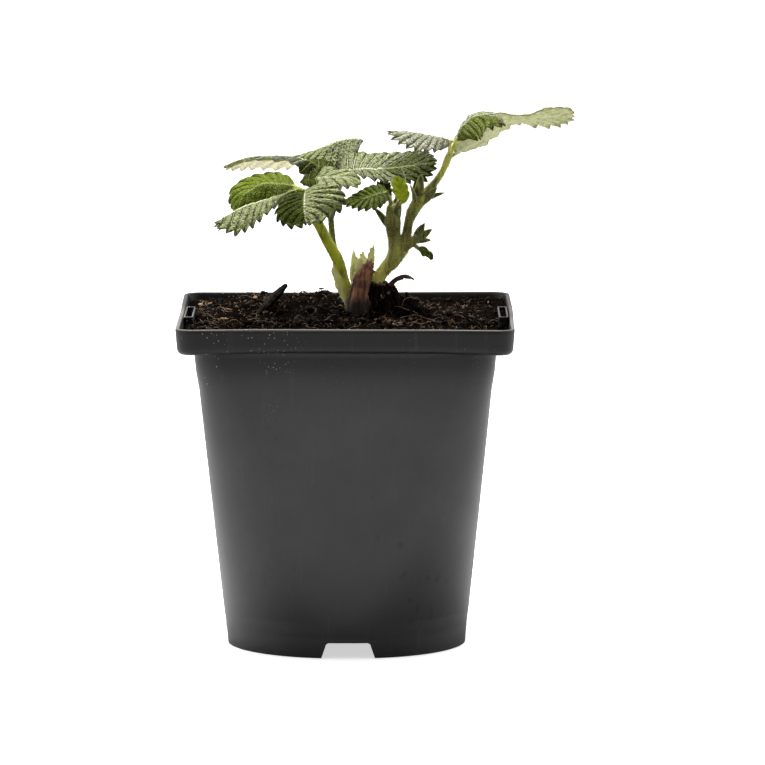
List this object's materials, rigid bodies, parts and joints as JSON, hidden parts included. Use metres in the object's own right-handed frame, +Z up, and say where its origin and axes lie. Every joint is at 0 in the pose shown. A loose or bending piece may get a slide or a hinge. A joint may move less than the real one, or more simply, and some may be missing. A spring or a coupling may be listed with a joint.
{
  "type": "potted strawberry plant",
  "caption": "Young strawberry plant with toothed trifoliate leaves on hairy stalks, in a tapering square-rimmed black nursery pot filled with compost.",
  "frame": {"origin": "on the floor below the middle of the whole object's box; the pot's own axis stands 12 mm to its -X side", "axes": "+Z up, -Y towards the viewer of the picture, +X to the picture's right, where the highest leaf reaches out"},
  "size_m": [0.1544, 0.13, 0.2096],
  "materials": {
    "black_plastic": "satin",
    "compost": "matte",
    "woody_crown": "matte",
    "dry_sheath": "matte",
    "bud_sheath": "satin",
    "petiole": "satin",
    "hairy_stalk": "matte",
    "leaf": "satin",
    "young_leaf": "satin",
    "bark": "matte",
    "pale_wood": "matte",
    "tan_wood": "matte"
  },
  "bodies": {
    "root": {"pot": "black_plastic", "soil": "compost", "crown": "woody_crown", "brown_sheath": "dry_sheath", "dried_bract": "dry_sheath", "bud_sheaths": "bud_sheath", "front_petiole": "petiole", "back_petiole": "hairy_stalk", "right_stalk": "hairy_stalk", "front_leaflet_left": "leaf", "front_leaflet_back": "leaf", "front_leaflet_right": "leaf", "back_leaflet_left": "leaf", "back_leaflet_top": "leaf", "back_leaflet_right": "leaf", "back_leaflet_small": "leaf", "upper_leaflet_left": "leaf", "upper_leaflet_right": "leaf", "upper_leaflet_middle": "leaf", "young_leaflet_left": "young_leaf", "young_leaflet_bright": "young_leaf", "young_leaflet_dark": "young_leaf", "pendant_leaflet": "young_leaf", "bark_splinter": "bark", "bark_chip_right": "bark", "bark_chip_back": "bark", "pale_chip_left": "pale_wood", "pale_chip_middle": "pale_wood", "pale_chip_front": "pale_wood", "tan_chip_crown": "tan_wood", "tan_chip_right": "tan_wood"}
  },
  "joints": []
}
